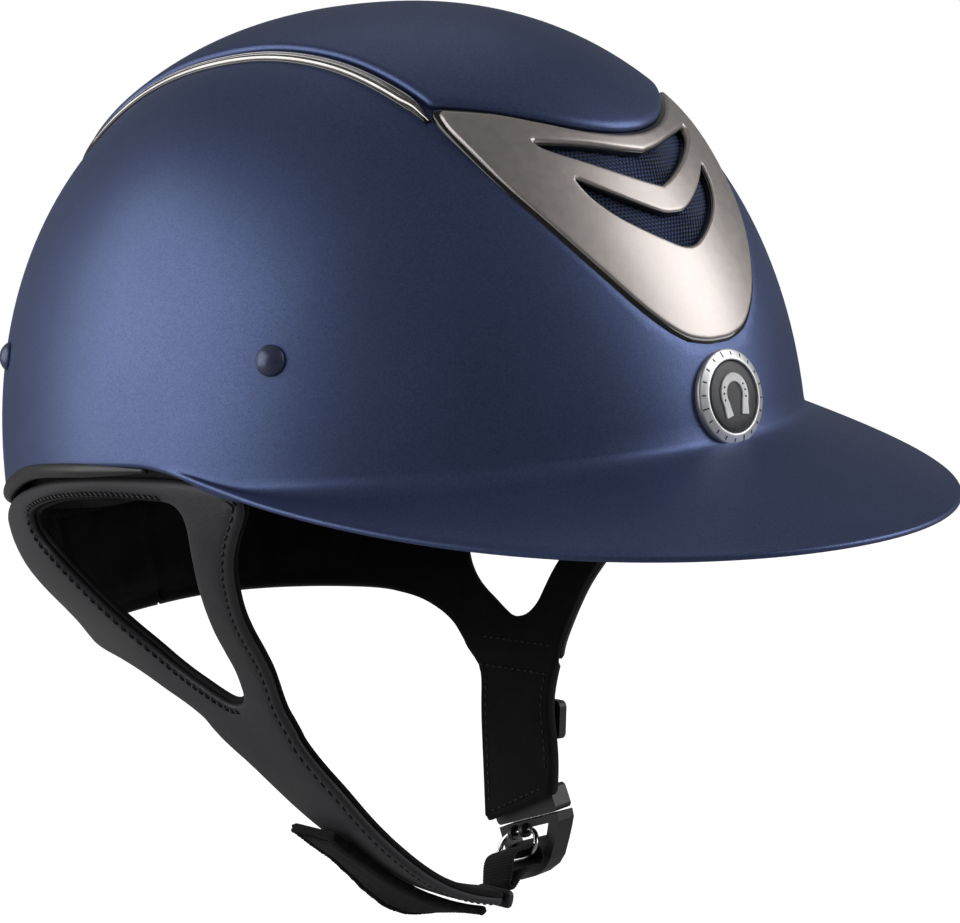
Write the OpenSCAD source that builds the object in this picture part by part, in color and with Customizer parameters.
// Equestrian riding helmet with a wide brim, its liner, harness, chin strap and buckle.
// +Z is up, the brim points along -Y, the wearer's left is +X.
// The origin is the centre of the shell's widest level.

/* [Shell] */
// Half of the shell's greatest width
shell_half_w = 106; // [103:0.5:110]
// Reach of the shell wall in front of the origin
shell_front = 126.7; // [123:0.1:131]
// Reach of the shell wall behind the origin
shell_rear = 132; // [129:0.5:136]
// Height of the crown above the origin, over the crown panel
crown_h = 130.2; // [127:0.1:134]
// Wall of the moulded shell
shell_wall = 3; // [2.4:0.1:3.4]
// Step from the crown panel down to the shell under it
panel_step = 2.4; // [2.2:0.1:3]
// Height of the rear rim at the ears
rim_side_z = 16; // [14:0.5:18]
// Height of the rear rim at the nape
rim_nape_z = -11; // [-13:0.5:-8]

/* [Brim] */
// Half of the brim's width at the sides
brim_half_w = 103.2; // [102:0.1:105]
// Reach of the brim in front of its own centre line
brim_reach = 152.3; // [144:0.1:158]
// Thickness of the brim
brim_t = 2.4; // [2.2:0.1:3.2]
// Height of the brim at its sides
brim_side_z = 15; // [13:0.5:17]
// Droop of the brim from its sides to its tip
brim_droop = 24; // [18:0.5:28]

/* [Front inlay] */
// Height of the plate's lower tip
inlay_tip_z = 38; // [36:0.5:42]
// Thickness of the front plate
inlay_t = 1.5; // [1.2:0.1:1.8]
// Diameter of the round front badge
badge_d = 24.5; // [22:0.5:26]
// Height of the badge's centre
badge_z = 22; // [21:0.5:24]

/* [Rivets] */
// Diameter of the dome-shaped rivet heads
rivet_head_d = 8; // [7:0.5:10]
// Diameter of the rivet shank
rivet_d = 4.2; // [3.6:0.1:4.4]

/* [Liner] */
// Depth from the shell's outside to the foam's outside
foam_out = 6.6; // [6.4:0.1:7]
// Depth from the shell's outside to the foam's inside
foam_in = 27; // [24:0.5:28]
// Thickness of the comfort pads
pad_t = 5.5; // [4:0.5:6.5]

/* [Harness] */
// Thickness of the leatherette layer
leather_t = 2.2; // [1.8:0.1:2.4]
// Thickness of the suede lining
lining_t = 1.6; // [1.2:0.1:2]
// Height of the lower edge of the band behind the nape
nape_z = -57.5; // [-60:0.5:-55]
// Height of the seam where the side legs meet the strap
seam_z = -71.5; // [-73:0.5:-70]

/* [Chin strap] */
// Radius of the arc that the chin strap follows
strap_r = 115.3; // [114:0.1:117]
// Thickness of the chin strap
strap_t = 3.4; // [2.8:0.1:4]
// Thickness of the hook-and-loop tail
tail_t = 3; // [2:0.1:3.4]

/* [Buckle] */
// Width of the buckle
buckle_w = 28; // [26:0.5:30]
// Thickness of the buckle
buckle_t = 9; // [8:0.5:10]
// Diameter of each magnet
magnet_d = 5.6; // [5:0.1:6]
// Diameter of the wire of the ring
wire_d = 1.7; // [1.4:0.1:2]

/* [Hidden] */

plan_exp = 1.917;   // exponent of the shell's plan
profile_exp = 2.185; // exponent of the shell's profile
crown_shift = -2.43; // lean of the crown towards the front
shell_h = crown_h - panel_step;
angle_step = 6;      // angular step of the large lofts

NAVY = [0.12, 0.16, 0.32];
MESH = [0.1, 0.14, 0.3];
BLACK = [0.03, 0.03, 0.035];
PADDING = [0.08, 0.08, 0.09];
LEATHER = [0.22, 0.22, 0.24];
SUEDE = [0.05, 0.05, 0.055];
WEBBING = [0.05, 0.05, 0.05];
TRIM = [0.2, 0.2, 0.21];
BUCKLE = [0.14, 0.14, 0.15];
MAGNET = [0.7, 0.7, 0.72];
PLASTIC = [0.1, 0.1, 0.1];

// ---------- number and list helpers ----------
function lerp(from, to, share) = from + (to - from) * share;
function clamp01(value) = min(1, max(0, value));
function pos_pow(base, exponent) = base <= 0 ? 0 : pow(base, exponent);
function sign_of(value) = value < 0 ? -1 : 1;
function unit(v) = v / norm(v);
function flat(grid) = [for (row = grid) for (point = row) point];
function reversed(list) = [for (i = [len(list) - 1 : -1 : 0]) list[i]];
// piecewise linear lookup, rows = [[x, value], ...] with x rising
function lookup_in(rows, x, i = 0) =
  x <= rows[0][0] ? rows[0][1] :
  i >= len(rows) - 1 ? rows[len(rows) - 1][1] :
  x <= rows[i + 1][0] ?
    lerp(rows[i][1], rows[i + 1][1], (x - rows[i][0]) / (rows[i + 1][0] - rows[i][0])) :
  lookup_in(rows, x, i + 1);
// Catmull-Rom point between start and end
function spline(before, start, end, after, share) = 0.5 * (2 * start
  + (end - before) * share
  + (2 * before - 5 * start + 4 * end - after) * share * share
  + (3 * start - before - 3 * end + after) * share * share * share);
// smooth curve through the points, with so many steps to each span
function curve(points, steps) = let (last = len(points) - 1) [
  for (i = [0 : last - 1]) for (k = [0 : steps - 1])
    spline(points[max(0, i - 1)], points[i], points[i + 1], points[min(last, i + 2)], k / steps),
  points[last]];
function bezier(start, pull1, pull2, end, share) =
  pow(1 - share, 3) * start + 3 * share * pow(1 - share, 2) * pull1
  + 3 * share * share * (1 - share) * pull2 + share * share * share * end;

// ---------- shell surface ----------
// Plan angles are 0 at the brow, 90 at the wearer's left and 180 at the nape.
// A depth is measured inwards from the shell's outside; a negative one lies outside it.
function fold(angle) = angle > 180 ? 360 - angle : angle;
function plan_radius(angle, exponent = plan_exp) =
  pow(pos_pow(abs(sin(angle)), exponent) + pos_pow(abs(cos(angle)), exponent), -1 / exponent);
function shell_reach(y, depth = 0) = (y < 0 ? shell_front : shell_rear) - depth;
// horizontal shrink of the profile at height z
function shrink(z, depth = 0) =
  z >= 0 ? pos_pow(1 - pos_pow(min(1, z / (shell_h - depth)), profile_exp), 1 / profile_exp)
  : 1 - 0.02 * pow(z / 26, 2);
// shift of the level at height z along y
function lean(z, depth = 0) = crown_shift * pow(max(0, z / (shell_h - depth)), 2);
// size of the plan, as a share of the widest level, that passes through (x, y)
function plan_share(x, y, depth = 0) = pow(
  pos_pow(abs(x) / (shell_half_w - depth), plan_exp)
  + pos_pow(abs(y) / shell_reach(y, depth), plan_exp), 1 / plan_exp);
// share left for one plan axis at height z when the other axis takes up its own
function other_share(z, depth, taken) =
  pos_pow(pos_pow(shrink(z, depth), plan_exp) - pos_pow(taken, plan_exp), 1 / plan_exp);
// point of the surface at a plan angle and height
function wall(angle, z, depth = 0) = let (
    radius = plan_radius(angle), scale = shrink(z, depth))
  [(shell_half_w - depth) * radius * sin(angle) * scale,
   -shell_reach(-cos(angle), depth) * radius * cos(angle) * scale + lean(z, depth), z];
// height over plan position (x, y); each pass corrects the lean for the level found before
function top_z(x, y, depth = 0, height = shell_h, level = 0.8, passes = 3) = let (
    share = plan_share(x, y - crown_shift * level * level, depth),
    new_level = pos_pow(1 - pos_pow(min(1, share), profile_exp), 1 / profile_exp))
  passes == 0 ? (height - depth) * new_level
  : top_z(x, y, depth, height, new_level, passes - 1);
// y of the front (side = -1) or rear (side = 1) face at (x, z)
function face_y(x, z, depth = 0, side = -1) =
  side * shell_reach(side, depth) * other_share(z, depth, abs(x) / (shell_half_w - depth))
  + lean(z, depth);
// x of the left side at (y, z)
function side_x(y, z, depth = 0) = let (level_y = y - lean(z, depth))
  (shell_half_w - depth) * other_share(z, depth, abs(level_y) / shell_reach(level_y, depth));
// outward normal at a point of the surface
function normal(point) = let (
    x = point[0], y = point[1] - lean(point[2]), level = point[2] / shell_h,
    reach = shell_reach(y), gain = pow(plan_share(x, y), profile_exp - plan_exp))
  unit([gain * pos_pow(abs(x) / shell_half_w, plan_exp - 1) / shell_half_w * sign_of(x),
        gain * pos_pow(abs(y) / reach, plan_exp - 1) / reach * sign_of(y),
        pos_pow(abs(level), profile_exp - 1) / shell_h * sign_of(level)]);
// points up one plan angle, from z_low to near the crown
function meridian(angle, z_low, depth, last_angle, steps) = [for (j = [0 : steps])
  wall(angle, lerp(z_low, shell_h - depth, pos_pow(sin(last_angle * j / steps), 0.915)), depth)];
// plan angle, share of the way up from nape to ear of the shell's lower edge
RIM = [[80, 1], [92, 0.97], [98, 0.945], [104, 0.89], [108, 0.845], [112, 0.78], [116, 0.695],
  [121, 0.585], [128, 0.43], [134, 0.32], [140, 0.23], [147, 0.145], [155, 0.075],
  [164, 0.025], [172, 0.005], [180, 0]];
function rim_z(angle) = lerp(rim_nape_z, rim_side_z, lookup_in(RIM, fold(angle)));
// 1 along the brim, fading to 0 along the rear rim
function front_share(angle) = let (share = clamp01((fold(angle) - 66) / 18))
  1 - share * share * (3 - 2 * share);

// ---------- mesh builders ----------
module solid(points, faces) polyhedron(points = points, faces = faces, convexity = 8);
// closed loft: grid[i][j], i runs round, j from the first to the last ring, capped by two tips
module loft(grid, first_tip, last_tip) {
  rows = len(grid);
  cols = len(grid[0]);
  tip = rows * cols;
  solid(concat(flat(grid), [first_tip, last_tip]), concat(
    [for (i = [0 : rows - 1]) for (j = [0 : cols - 2])
      let (here = i * cols + j, next = ((i + 1) % rows) * cols + j)
      each [[here, next, here + 1], [next, next + 1, here + 1]]],
    [for (i = [0 : rows - 1]) [tip, ((i + 1) % rows) * cols, i * cols]],
    [for (i = [0 : rows - 1])
      [tip + 1, i * cols + cols - 1, ((i + 1) % rows) * cols + cols - 1]]));
}
// solid between two grids of the same size, round = closed in i
module sheet(grid1, grid2, round = false) {
  rows = len(grid1);
  cols = len(grid1[0]);
  second = rows * cols;
  last_row = round ? rows - 1 : rows - 2;
  solid(concat(flat(grid1), flat(grid2)), concat(
    [for (i = [0 : last_row]) for (j = [0 : cols - 2])
      let (here = i * cols + j, next = ((i + 1) % rows) * cols + j)
      each [[here, here + 1, next], [next, here + 1, next + 1],
        [second + here, second + next, second + here + 1],
        [second + next, second + next + 1, second + here + 1]]],
    [for (i = [0 : last_row]) let (here = i * cols, next = ((i + 1) % rows) * cols)
      each [[here, next, second + here], [next, second + next, second + here]]],
    [for (i = [0 : last_row])
      let (here = i * cols + cols - 1, next = ((i + 1) % rows) * cols + cols - 1)
      each [[here, second + here, next], [next, second + here, second + next]]],
    round ? [] : [for (j = [0 : cols - 2])
      each [[j, second + j, j + 1], [j + 1, second + j, second + j + 1]]],
    round ? [] : [for (j = [0 : cols - 2]) let (here = (rows - 1) * cols + j)
      each [[here, here + 1, second + here], [here + 1, second + here + 1, second + here]]]));
}
// eight-sided bar along a path
module bar(path, radius) {
  sides = 8;
  last = len(path) - 1;
  tip = len(path) * sides;
  grid = [for (i = [0 : last]) let (
      along = unit(path[min(last, i + 1)] - path[max(0, i - 1)]),
      across = unit(cross(along, [0, 0, 1])),
      rise = cross(across, along))
    [for (j = [0 : sides - 1])
      path[i] + radius * (cos(j * 360 / sides) * across + sin(j * 360 / sides) * rise)]];
  solid(concat(flat(grid), [path[0], path[last]]), concat(
    [for (i = [0 : last - 1]) for (j = [0 : sides - 1])
      let (here = i * sides + j, next = i * sides + (j + 1) % sides)
      each [[here, next, here + sides], [next, next + sides, here + sides]]],
    [for (j = [0 : sides - 1]) [tip, (j + 1) % sides, j]],
    [for (j = [0 : sides - 1]) [tip + 1, last * sides + j, last * sides + (j + 1) % sides]]));
}
// stands the children at a point of the shell, with z along the outward normal
module on_surface(point) {
  out = normal(point);
  translate(point) rotate([0, acos(out[2]), atan2(out[1], out[0])]) children();
}
module to_right() mirror([1, 0, 0]) children();
module to_rear() mirror([0, 1, 0]) children();

// ---------- outer shell and brim ----------
brim_centre_y = -24.5;
brim_rear_reach = 126; // the brim's outline behind its centre line
brim_plan_exp = 1.993;
brim_bow = 14;         // bow of the droop between the sides and the tip
shell_top_angle = 84;  // last angle of the shell's meridians
shell_steps = 9;
// (y, z) of the harness rivets on each side
RIVETS = [[-55, 41.5], [68, 39.5]];
// (x, z) of the air holes in the front
AIR_HOLES = [[0, 78], [-15, 82], [15, 82], [0, 64], [-12, 69], [12, 69]];

function brim_edge(angle) = let (
    half = fold(angle), turned = min(half + 12 * sin(half), 180),
    forward = max(0, cos(turned)), radius = plan_radius(turned, brim_plan_exp))
  [(angle > 180 ? -1 : 1) * brim_half_w * radius * sin(turned),
   brim_centre_y - (cos(turned) > 0 ? brim_reach : brim_rear_reach) * radius * cos(turned),
   brim_side_z + brim_t / 2 - 0.5 - (brim_droop + brim_bow) * forward
     + brim_bow * forward * forward];
// section from the crown down the outside, round the edge and up the inside
function shell_profile(angle) = let (
    front = front_share(angle),
    rim = lerp(rim_z(angle), 9, front),
    flare_z = rim + 4,
    rim_point = wall(angle, rim),
    brim_point = brim_edge(angle),
    edge = lerp(rim_point, brim_point, front),
    outward = unit([edge[0], edge[1] + 20, 0]),
    down = [0, 0, -brim_t],
    pull1 = wall(angle, rim - 1.5 * front + 3 * (1 - front)),
    pull2 = lerp(rim_point + [0, 0, 1], lerp(rim_point, edge, 0.5) + [0, 0, 1.4], front),
    flare = [for (j = [1 : 4]) bezier(wall(angle, flare_z), pull1, pull2, edge, j / 5)],
    nose = lerp(wall(angle, rim, shell_wall / 2) - [0, 0, 0.8],
      edge + outward + down / 2, front),
    low = lerp(wall(angle, rim, shell_wall), edge + down, front),
    inner_z = lerp(rim + 3.5, 6.5, front),
    under = [for (j = [1 : 2]) let (share = j / 3)
      lerp(wall(angle, lerp(rim, inner_z, share), shell_wall),
        lerp(edge, rim_point, share) + down
          + [0, 0, 3.2 * share * (1 - share) - 1.5 * share], front)])
  concat(reversed(meridian(angle, flare_z, 0, shell_top_angle, shell_steps)), flare,
    [edge, nose, low], under,
    meridian(angle, inner_z, shell_wall, shell_top_angle, shell_steps));
module rivet_sites() for (side = [-1, 1]) for (site = RIVETS)
  on_surface([side * side_x(site[0], site[1]), site[0], site[1]]) children();
module air_hole_sites() for (site = AIR_HOLES)
  on_surface([site[0], face_y(site[0], site[1]), site[1]]) children();
module outer_shell() color(NAVY) difference() {
  loft([for (t = [0 : angle_step : 359]) shell_profile(t)],
    [0, crown_shift, shell_h], [0, crown_shift, shell_h - shell_wall]);
  rivet_sites() translate([0, 0, -6]) cylinder(d = rivet_d + 0.4, h = 12, $fn = 24);
  air_hole_sites() translate([0, 0, -6]) cylinder(d = 8, h = 12, $fn = 24);
}

// ---------- crown panel and its trims ----------
// y, half width of the panel; rows in front of panel_fit_y are fitted to the front plate
PANEL = [[-100, 41], [-87, 41.2], [-75, 41.4], [-61.6, 42.4], [-42, 43.3], [-14, 45.5],
  [8, 47.1], [25, 46.9], [42, 46.2], [56, 46], [69, 44.4], [83, 37.6], [96, 26.8],
  [106, 15.5], [112, 6.5]];
panel_fit_y = -60;
panel_gap = 2.2; // height of the gap above the front plate
// x, z of the upper edge of the front plate
PLATE_TOP = [[0, 88.6], [12, 89.4], [25, 92.8], [36, 96.6]];

function panel_front(x) =
  face_y(x, lookup_in(concat(PLATE_TOP, [[41.4, 97.4]]), abs(x)) + panel_gap);
function panel_grid(depth, height) = [for (row = curve(PANEL, 2)) [for (j = [-7 : 7]) let (
    x = row[1] * sin(90 * j / 7),
    y = row[0] < panel_fit_y ? lerp(panel_front(x), panel_fit_y,
      (row[0] - PANEL[0][0]) / (panel_fit_y - PANEL[0][0])) : row[0])
  [x, y, top_z(x, y, depth, height)]]];
module crown_panel() color(NAVY) sheet(panel_grid(-0.4, shell_h), panel_grid(0, crown_h));
// line beside the panel's edge, side = 1 on the left
function trim_path(side) = [
  for (row = curve(concat([[-70, 41.9]], [for (i = [3 : 12]) PANEL[i]]), 2)) let (
    x = side * (row[1] + 2.1), point = [x, row[0], top_z(x, row[0])])
  point + normal(point) * 1.8];
module side_trim(side) color(TRIM) bar(trim_path(side), 1.3);
module side_trim_right() side_trim(-1);
module side_trim_left() side_trim(1);

// ---------- front inlay ----------
// Half outlines (x, z), from the upper middle round to the lower middle.
INLAY = concat(PLATE_TOP, [[41.4, 96.6], [42, 89], [40.5, 80.5], [35.4, 71], [28.6, 60],
  [20, 49.5], [11.5, 41.5], [5, 38.4], [0, inlay_tip_z]]);
UPPER_SLOT = [[0, 84.2], [8, 84.8], [18, 87.2], [29, 90], [27.5, 85.6], [18, 79.2],
  [8, 75.4], [0, 74.6]];
LOWER_SLOT = [[0, 68.4], [7, 69.4], [15, 73], [23.5, 77.4], [21.5, 71.8], [14, 65],
  [6, 60.8], [0, 59.8]];
mesh_depth = [-0.2, -0.7]; // inner and outer face of both meshes

function mirrored(half) =
  concat(half, [for (i = [len(half) - 2 : -1 : 1]) [-half[i][0], half[i][1]]]);
module outline(half, grow = 0)
  if (grow == 0) polygon(mirrored(half));
  else offset(delta = grow) polygon(mirrored(half));
// grid over the front face, or over the rear face (side = 1) flipped to the front
function face_grid(depth, half_w, z_low, z_high, cols, rows, side) =
  [for (i = [0 : rows]) let (z = lerp(z_low, z_high, i / rows))
    [for (j = [0 : cols]) let (x = lerp(-half_w, half_w, j / cols))
      [x, -side * face_y(x, z, depth, side), z]]];
module face_plate(depth1, depth2, half_w = 47, z_low = 34, z_high = 99.5,
    cols = 14, rows = 12, side = -1)
  sheet(face_grid(depth1, half_w, z_low, z_high, cols, rows, side),
    face_grid(depth2, half_w, z_low, z_high, cols, rows, side));
// extrudes an (x, z) outline along y through the front face
module front_prism(y_front = -140, y_back = -60)
  translate([0, y_back, 0]) rotate([90, 0, 0]) linear_extrude(y_back - y_front) children();
module inlay_border() color(BLACK) intersection() {
  face_plate(-0.2, -0.8);
  front_prism() difference() {
    outline(INLAY, 1.6);
    outline(INLAY, -3);
  }
}
module vent_mesh() color(MESH) intersection() {
  face_plate(mesh_depth[0], mesh_depth[1], 36, 54, 94, 10, 8);
  front_prism() intersection() {
    union() {
      outline(UPPER_SLOT, 1.5);
      outline(LOWER_SLOT, 1.5);
    }
    outline(INLAY, -3.4);
  }
}
module front_inlay() color([0.55, 0.52, 0.5]) intersection() {
  face_plate(-1, -1 - inlay_t);
  front_prism() difference() {
    outline(INLAY);
    outline(UPPER_SLOT);
    outline(LOWER_SLOT);
  }
}

// ---------- badge ----------
badge_r = badge_d / 2;
badge_tilt = 7;
// radius, height of the ring's section
RING_SECTION = [[9.4, 0.2], [badge_r - 0.5, 0.2], [badge_r, 0.7], [badge_r - 0.5, 1.4],
  [10.2, 2.5], [9.4, 2.5]];

// frame on the front face: x across, y up, z outwards
module badge_site() translate([0, face_y(0, badge_z) - 1.7, badge_z])
  rotate([90 - badge_tilt, 0, 0]) children();
module badge_ring() color([0.75, 0.75, 0.76]) badge_site()
  rotate_extrude($fn = 64) polygon(RING_SECTION);
module badge_disc() color([0.17, 0.17, 0.19]) badge_site()
  translate([0, 0, 0.2]) cylinder(r = 9.1, h = 1.9, $fn = 64);
// horseshoe shape, open at the bottom
module badge_emblem() color([0.92, 0.92, 0.92]) badge_site()
  translate([0, 0, 2.2]) linear_extrude(0.5) difference() {
    union() {
      circle(r = 5.6, $fn = 48);
      for (side = [-1, 1]) translate([side * 4.3 - 1.3, -6]) square([2.6, 6]);
    }
    circle(r = 3.2, $fn = 48);
    translate([-3, -7]) square([6, 7]);
  }

// ---------- rivets, washers, piping ----------
module harness_rivets() color(NAVY) rivet_sites() {
  translate([0, 0, 0.5]) rotate_extrude($fn = 32) intersection() {
    translate([0, -2.9]) circle(r = 4.95, $fn = 48);
    square([rivet_head_d / 2, 3]);
  }
  translate([0, 0, -8.2]) cylinder(d = rivet_d, h = 9, $fn = 24);
}
module rivet_washers() color([0.6, 0.6, 0.6]) rivet_sites()
  translate([0, 0, -6.1]) difference() {
    cylinder(d = 11, h = 0.8, $fn = 32);
    translate([0, 0, -1]) cylinder(d = rivet_d + 0.3, h = 3, $fn = 24);
  }
// bar under the rear rim
module rim_piping() color([0.06, 0.06, 0.06])
  bar([for (t = [84 : 6 : 276]) wall(t, rim_z(t) - 3.1, 1.7)], 2);

// ---------- rear vent ----------
// Half outlines (x, z) of the grille and its opening, from top to bottom.
GRILLE = [[0, 68], [8, 67.4], [15, 65], [20, 60.5], [15, 55.8], [8, 52.6], [0, 51.4]];
GRILLE_SLOT = [[0, 64.4], [7, 63.8], [14.6, 60.6], [8, 56.6], [0, 55]];

module rear_plate(depth1, depth2) to_rear() face_plate(depth1, depth2, 23, 49, 70, 8, 6, 1);
module rear_prism() to_rear() front_prism() children();
module rear_vent_grille() color(BLACK) intersection() {
  rear_plate(-0.9, -2.3);
  rear_prism() difference() {
    outline(GRILLE);
    outline(GRILLE_SLOT);
  }
}
module rear_vent_mesh() color(MESH) intersection() {
  rear_plate(mesh_depth[0], mesh_depth[1]);
  rear_prism() outline(GRILLE_SLOT, 1.5);
}

// ---------- foam and pads ----------
foam_top_angle = 82;
foam_steps = 9;

function foam_profile(angle) = let (
    bottom = lerp(rim_z(angle) - 2.5, 9.5, front_share(angle)),
    middle = (foam_out + foam_in) / 2)
  concat(reversed(meridian(angle, bottom, foam_out, foam_top_angle, foam_steps)),
    [wall(angle, bottom - 3, middle - 3), wall(angle, bottom - 3, middle + 4)],
    meridian(angle, bottom, foam_in, foam_top_angle, foam_steps));
module foam_liner() color([0.1, 0.1, 0.11]) difference() {
  loft([for (t = [0 : angle_step : 359]) foam_profile(t)],
    [0, crown_shift, shell_h - foam_out], [0, crown_shift, shell_h - foam_in]);
  rivet_sites() translate([0, 0, -14]) cylinder(d = 7, h = 9.4, $fn = 24);
}
// face of a pad, inset at its ends by degrees and at its upper and lower edges by 0.6 of that
function pad_grid(from, to, z_low, z_high, cols, rows, depth, inset) =
  [for (i = [0 : cols]) let (angle = lerp(from + inset, to - inset, i / cols))
    [for (j = [0 : rows])
      wall(angle, lerp(z_low + inset * 0.6, z_high - inset * 0.6, j / rows), depth)]];
// pad on the inside of the foam between two plan angles and two heights
module pad(from, to, z_low, z_high, cols = 10, rows = 5)
  sheet(pad_grid(from, to, z_low, z_high, cols, rows, foam_in + 0.7, 0),
    pad_grid(from, to, z_low, z_high, cols, rows, foam_in + pad_t, 2));
module side_pad() pad(66, 112, 15, 42);
module brow_pad() color(PADDING) pad(-62, 62, 13, 40, 16, 4);
module side_pad_right() color(PADDING) to_right() side_pad();
module side_pad_left() color(PADDING) side_pad();
module rear_pad() color(PADDING) pad(118, 242, 3, 30, 16, 4);
module crown_pad() color(PADDING) {
  outer = foam_in + 0.5;
  inner = outer + pad_t;
  loft([for (t = [0 : 12 : 359]) concat(
      reversed(meridian(t, 62, outer, 80, 5)), meridian(t, 64, inner, 80, 5))],
    [0, crown_shift, shell_h - outer], [0, crown_shift, shell_h - inner]);
}

// ---------- harness surface ----------
// z, half width of the surface that the harness follows
HALF_WIDTHS = [[-150, 44], [-130, 46], [-110, 48], [-90, 51], [-72, 54.5], [-61, 60],
  [-50, 65.5], [-43, 70.5], [-35, 77], [-25, 84.5], [-15, 91], [-5, 95.5], [5, 98],
  [12, 99.2], [20, 100]];
// z, half length of the same surface
HALF_LENGTHS = [[-57, 124], [-50, 128], [-40, 131], [-30, 132], [-20, 131], [-10, 129], [5, 126]];
harness_exp = 2.5; // exponent of its plan
layer_gap = 0.4;   // gap between the leatherette and the layer inside it
// y, z round the opening of the left yoke
OPENING = [[54, -4.4], [42, -1], [28, 1.3], [9.5, 3], [-8, 3.4], [-16, 3.2], [-19.8, 1.8],
  [-20.6, -1.5], [-19.2, -6.5], [-15.8, -14], [-11.8, -20.5], [-7.5, -27.4], [-2.3, -36.2],
  [1.7, -44.5], [4.2, -52.4], [5.8, -57], [8.9, -60.3], [13.6, -61.6], [18, -60],
  [23, -57.4], [29, -54.3], [34.3, -50.8], [39.6, -46], [43.4, -41], [46.8, -34],
  [50, -25.3], [54.2, -17], [58.4, -11.4], [58.2, -7]];
// y, z round the yoke's outline, matched to OPENING point by point
YOKE_EDGE = [[74, -5], [60, 0], [36, 6], [10, 9.6], [-12, 10], [-30, 9], [-44.5, 6.6],
  [-43, 2], [-38, -5], [-33, -12], [-27, -21], [-20.8, -31], [-15.6, -41.8], [-11.8, -51],
  [-9.2, -60], [-8.5, seam_z], [0, seam_z], [11, seam_z], [21, seam_z], [31, seam_z],
  [40, -65.4], [54, -61], [70, -58.8], [87.4, -58], [87.4, -46], [87.4, -35], [87.4, -25],
  [87.4, -16], [87.4, -9]];

function half_width(z) = lookup_in(HALF_WIDTHS, z);
function half_length(z) = lookup_in(HALF_LENGTHS, z);
// reach along one axis when the other coordinate is at a share of its own half size
function harness_reach(half_size, share) =
  half_size * pos_pow(1 - pos_pow(share, harness_exp), 1 / harness_exp);
function harness_x(y, z, depth = 0) =
  harness_reach(half_width(z) - depth, abs(y) / (half_length(z) - depth));
function harness_y(x, z, depth = 0) =
  harness_reach(half_length(z) - depth, abs(x) / (half_width(z) - depth));
function yoke_grid(depth, inset) = [for (i = [0 : len(OPENING) - 1]) [for (j = [0 : 3]) let (
    across = YOKE_EDGE[i] - OPENING[i], margin = inset / norm(across),
    point = OPENING[i] + across * lerp(margin, 1 - margin, j / 3))
  [harness_x(point[0], point[1], depth), point[0], point[1]]]];
module yoke(outer, inner, inset = 0)
  sheet(yoke_grid(inner, inset), yoke_grid(outer, inset), true);
module yoke_leather() yoke(0, leather_t);
module yoke_lining() yoke(leather_t + layer_gap, leather_t + layer_gap + lining_t, 1);
module harness_left() color(LEATHER) yoke_leather();
module harness_right() color(LEATHER) to_right() yoke_leather();
module lining_left() color(SUEDE) yoke_lining();
module lining_right() color(SUEDE) to_right() yoke_lining();

// upper edge of the neckband, below the rear rim
function neck_top(x) = rim_z(180 - asin(min(1, abs(x) / 80)) * 0.62) - 6.4;
function neck_grid(depth, inset) = [for (i = [-9 : 9]) [for (j = [0 : 6]) let (
    z = lerp(neck_top(72 * i / 9) - inset, nape_z + inset, j / 6),
    x = harness_x(88.2 + inset, z, depth) * sin(90 * i / 9))
  [x, harness_y(x, z, depth), z]]];
module neck(outer, inner, inset) sheet(neck_grid(outer, inset), neck_grid(inner, inset));
module neckband() color(LEATHER) neck(0, leather_t, 0);
module neckband_pad() color(SUEDE) neck(leather_t + layer_gap, leather_t + 4.4, 1.5);

// strap between shell and foam on the left side, from (y, z) low to (y, z) high
hanger_w = 14;
function hanger_grid(low, high, depth) = [for (i = [0 : 6]) let (centre = lerp(low, high, i / 6))
  [for (j = [-2 : 2]) let (y = centre[0] + j * hanger_w / 4)
    [side_x(y, centre[1], depth), y, centre[1]]]];
module hanger(low, high) sheet(hanger_grid(low, high, 5), hanger_grid(low, high, 3.8));
module both_sides() {
  children();
  to_right() children();
}
module hanger_straps() color([0.08, 0.08, 0.08]) difference() {
  both_sides() {
    hanger([-34.3, 12.5], [-57.5, 49]);
    hanger([58, 5.6], [70.5, 47]);
  }
  rivet_sites() translate([0, 0, -10]) cylinder(d = rivet_d + 0.5, h = 14, $fn = 24);
}

// ---------- left tab ----------
// z, y of the tab's front and rear edges
TAB_FRONT = [[-135, -6], [-112, -8.6], [-100, -8.6], [-86, -6.2], [-76, -7.2], [-71, -8.5]];
TAB_REAR = [[-135, 20.6], [-112, 21.4], [-90, 23.4], [-80, 24], [-76, 26], [-71.8, 31]];
tab_top_z = seam_z - 0.6;
slider_z = -91;

function tab_grid(depth) = [for (i = [0 : 10]) [for (j = [0 : 4]) let (
    z = lerp(tab_top_z, lerp(-112.5, -125, j / 4), i / 10),
    y = lerp(lookup_in(TAB_FRONT, z), lookup_in(TAB_REAR, z), j / 4))
  [harness_x(y, z, depth), y, z]]];
module left_tab() color([0.06, 0.06, 0.065]) sheet(tab_grid(0), tab_grid(3.6));
// webbing on the outside of the tab
function webbing_grid(depth) = [for (i = [0 : 6]) [for (j = [0 : 2]) let (
    z = lerp(-78, -108, i / 6), y = lerp(0, 16, j / 2))
  [harness_x(y, z, depth), y, z]]];
module left_webbing() color(WEBBING) sheet(webbing_grid(-1.9), webbing_grid(-0.5));
// slab of thickness x with rounded corners in y and z
module rounded(x, y, z, radius) hull() for (i = [-1, 1]) for (j = [-1, 1])
  translate([0, i * (y / 2 - radius), j * (z / 2 - radius)])
    rotate([0, 90, 0]) cylinder(r = radius, h = x, center = true, $fn = 32);
// rounded slider with two slots, outside the left tab
module tab_slider() color(PLASTIC)
  translate([half_width(slider_z) + 4.1, 7.8, slider_z]) rotate([0, 8.4, 0]) difference() {
    rounded(3, 26.6, 12, 2);
    for (z = [-2.6, 2.6]) translate([0, 0, z]) cube([6, 17, 2.2], center = true);
  }

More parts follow.
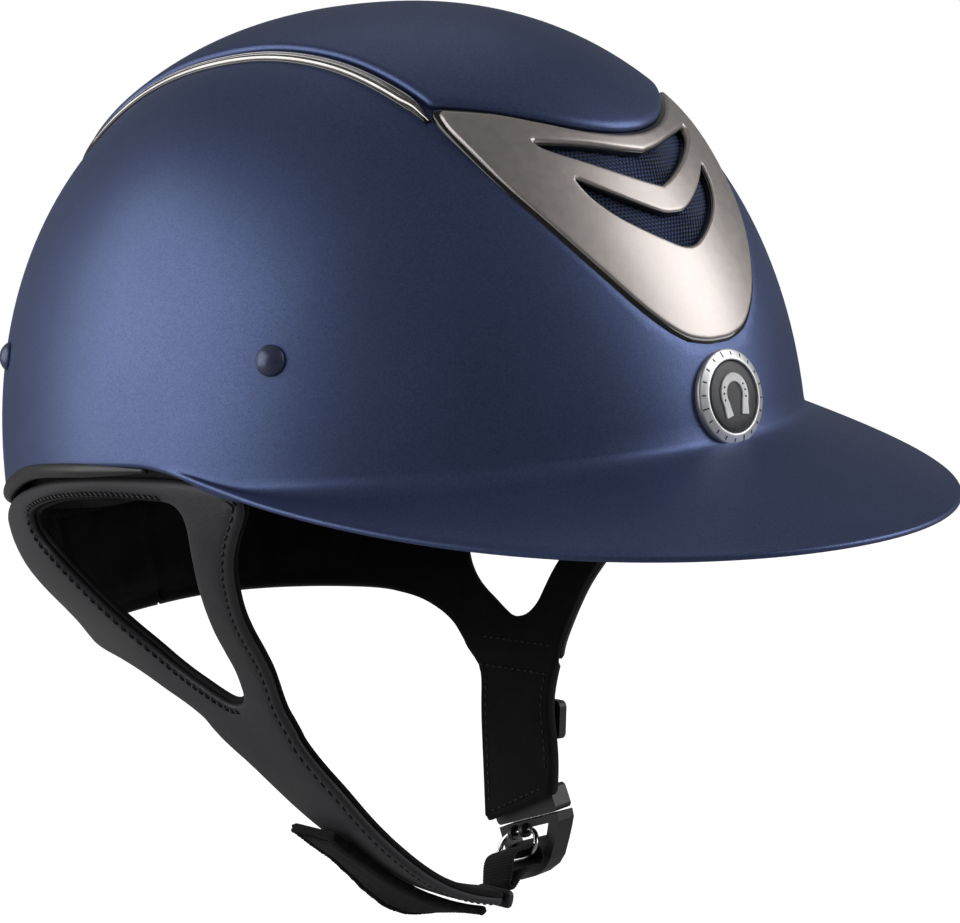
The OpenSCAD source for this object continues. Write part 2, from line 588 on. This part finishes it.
// ---------- buckle ----------
buckle_z = -119;
buckle_x = 5;   // middle of the magnets across the buckle's thickness
body_t = buckle_t - 2;
magnet_y = 8.6; // magnets to each side of the middle
magnet_hole_d = magnet_d + 0.2;
bar_x = 0.4;    // top bar of the ring
bar_z = -7.3;
ring_y = 4;     // middle of the ring across the buckle
ring_tilt = 32; // lean of the ring from the vertical
ring_r = 4.6;   // radius of the ring's round ends
ring_w = 8;     // length of the ring's straight sides
// y, z outlines of the lower half, of the recess in it and of the recess in its inner face
LOWER_BODY = [[-13.8, 0], [13.8, 0], [14, -5], [14.4, -12], [13.2, -16.6], [11.4, -17.6],
  [4.5, -17.4], [-0.8, -15.8], [-4.4, -13.4], [-8, -9.4], [-11, -5.8], [-13.4, -2.6]];
RECESS = [[-8.6, 0], [12.4, 0], [12.6, -4], [-5.4, -4]];
INNER_RECESS = [[-8.6, 0], [12.4, 0], [12.7, -8], [11, -12.6], [3, -12.2], [-2.6, -8.6]];

// frame of the buckle: x is its thickness, y its width, z up the tab
module buckle_site() translate([half_width(buckle_z) - 0.4, 8, buckle_z])
  rotate([-19.1, 0, 0]) children();
module magnet_pair(z, diameter, height) for (y = [-magnet_y, magnet_y])
  translate([buckle_x, y, z]) cylinder(d = diameter, h = height, $fn = 32);
// extrudes a (y, z) outline along x
module slab(outline_yz, x, z, thickness)
  translate([x, 0, z]) rotate([90, 0, 90]) linear_extrude(thickness) polygon(outline_yz);
module buckle_upper() color(BUCKLE) buckle_site() difference() {
  union() {
    translate([buckle_x, 0, 0]) rounded(body_t, buckle_w, 8, 1.6);
    translate([6.5, 0, 7.2]) rounded(3, buckle_w - 6, 8, 1.6);
  }
  translate([6.5, 0, 7.6]) cube([6, 17.4, 2.6], center = true);
  magnet_pair(-4.1, magnet_hole_d, 3.1);
}
module magnet_upper() color(MAGNET) buckle_site() magnet_pair(-3.7, magnet_d, 2.5);
module buckle_lower() color(BUCKLE) buckle_site() difference() {
  union() {
    difference() {
      slab(LOWER_BODY, 1.5, -4.6, body_t);
      slab(RECESS, 0, -6.9, 20);
      slab(INNER_RECESS, -1, -6.9, 5.2);
    }
    // two eyes round the ring's top bar
    for (y = [-2.6, 2.6]) translate([bar_x, ring_y + y, bar_z]) rotate([90, 0, 0]) {
      cylinder(d = 4.4, h = 1.6, center = true, $fn = 32);
      translate([1.4, 1.45, 0]) cube([2.8, 1.5, 1.6], center = true);
    }
  }
  translate([bar_x, ring_y, bar_z]) rotate([90, 0, 0])
    cylinder(d = wire_d + 0.6, h = 8, center = true, $fn = 32);
  magnet_pair(-6.2, magnet_hole_d, 3);
}
module magnet_lower() color(MAGNET) buckle_site() magnet_pair(-6.1, magnet_d, 1.3);
// long ring: two straight bars and two half rings
module wire_ring() color([0.8, 0.8, 0.82]) buckle_site()
  translate([bar_x, ring_y, bar_z]) rotate([0, ring_tilt, 0]) translate([0, 0, -ring_r]) {
    for (k = [-1, 1]) translate([0, 0, k * ring_r]) rotate([90, 0, 0])
      cylinder(d = wire_d, h = ring_w, center = true, $fn = 24);
    for (k = [0, 1]) mirror([0, k, 0]) translate([0, ring_w / 2, 0]) rotate([0, -90, 0])
      rotate_extrude(angle = 180, $fn = 48) translate([ring_r, 0]) circle(d = wire_d, $fn = 24);
  }

// ---------- chin strap ----------
arc_start = 22.2; // angle of the strap's right end below the arc's centre
arc_sweep = 50.4;
// centre of the strap's arc, on the wearer's left of the middle
arc_x = strap_r * cos(arc_start) - 54.6;
arc_z = tab_top_z + strap_r * sin(arc_start);
// share of the way along the strap, y of its front and rear edges
STRAP_FRONT = [[0, -8.5], [0.08, -12], [0.2, -16.5], [0.4, -18.5], [0.55, -18], [0.75, -15],
  [1, -12]];
STRAP_REAR = [[0, 31], [0.05, 27], [0.12, 20], [0.22, 14], [0.4, 7], [0.6, 3], [0.8, 1.5], [1, 1]];

// (x, z) on the arc, a share of the way from the right seam to the free end
function arc(share, out = 0) = let (
    angle = 180 + arc_start + arc_sweep * share, radius = strap_r + out)
  [arc_x + radius * cos(angle), arc_z + radius * sin(angle)];
function strap_grid(out) = [for (i = [0 : 16]) let (share = i / 16, point = arc(share, out))
  [for (j = [0 : 4]) [point[0],
    lerp(lookup_in(STRAP_FRONT, share), lookup_in(STRAP_REAR, share), j / 4),
    min(point[1], tab_top_z)]]];
module chin_strap() color([0.2, 0.2, 0.22]) sheet(strap_grid(-strap_t), strap_grid(0));
function tail_grid(out) = [for (i = [0 : 12]) let (
    along = i / 12, point = arc(lerp(0.31, 0.93, along), out))
  [for (j = [0 : 2])
    [point[0], lerp(lerp(-6, 17.5, j / 2), lerp(-9, 10, j / 2), along), point[1]]]];
module hook_tail() color([0.04, 0.04, 0.04]) sheet(tail_grid(1), tail_grid(1 + tail_t));
// moulded loop at the free end of the strap
module strap_keeper() color(PLASTIC) {
  end = arc(1, -strap_t / 2);
  translate([end[0] + 1.6, -5.5, end[1] - 0.5]) rotate([0, 20, 0]) rounded(2.4, 13.4, 4.8, 1.2);
}

// (x, z) of the ring's lower bar and of the loop's end at the strap, in the buckle's frame
low_bar = [bar_x - 2 * ring_r * sin(ring_tilt), bar_z - 2 * ring_r * cos(ring_tilt)];
loop_end = low_bar + [-17.6, -4.8];
loop_skew = 0.42; // shift along y for each unit of x
loop_half_w = 5.7;
// outline round two circles joined by their outer tangents
function twin(centre1, centre2, radius1, radius2, steps = 10) = let (
    gap = centre2 - centre1, heading = atan2(gap[1], gap[0]),
    spread = acos((radius1 - radius2) / norm(gap)))
  concat(
    [for (i = [0 : steps]) let (angle = heading + lerp(-spread, spread, i / steps))
      centre2 + radius2 * [cos(angle), sin(angle)]],
    [for (i = [0 : steps]) let (angle = heading + lerp(spread, 360 - spread, i / steps))
      centre1 + radius1 * [cos(angle), sin(angle)]]);
function loop_grid(end_r, bar_r) = [for (point = twin(loop_end, low_bar, end_r, bar_r))
  [for (k = [-1, 1])
    [point[0], ring_y + loop_skew * (point[0] - low_bar[0]) + k * loop_half_w, point[1]]]];
// webbing loop between the strap's end and the ring, skewed across the buckle
module strap_loop() color(WEBBING) buckle_site()
  sheet(loop_grid(0.6, 2.35), loop_grid(1.9, 3.55), true);

outer_shell();
crown_panel();
side_trim_right();
side_trim_left();
inlay_border();
vent_mesh();
front_inlay();
badge_ring();
badge_disc();
badge_emblem();
harness_rivets();
rivet_washers();
rim_piping();
rear_vent_grille();
rear_vent_mesh();
foam_liner();
crown_pad();
brow_pad();
side_pad_right();
side_pad_left();
rear_pad();
hanger_straps();
harness_right();
harness_left();
lining_right();
lining_left();
neckband();
neckband_pad();
left_tab();
left_webbing();
tab_slider();
buckle_upper();
magnet_upper();
buckle_lower();
magnet_lower();
wire_ring();
chin_strap();
strap_keeper();
strap_loop();
hook_tail();
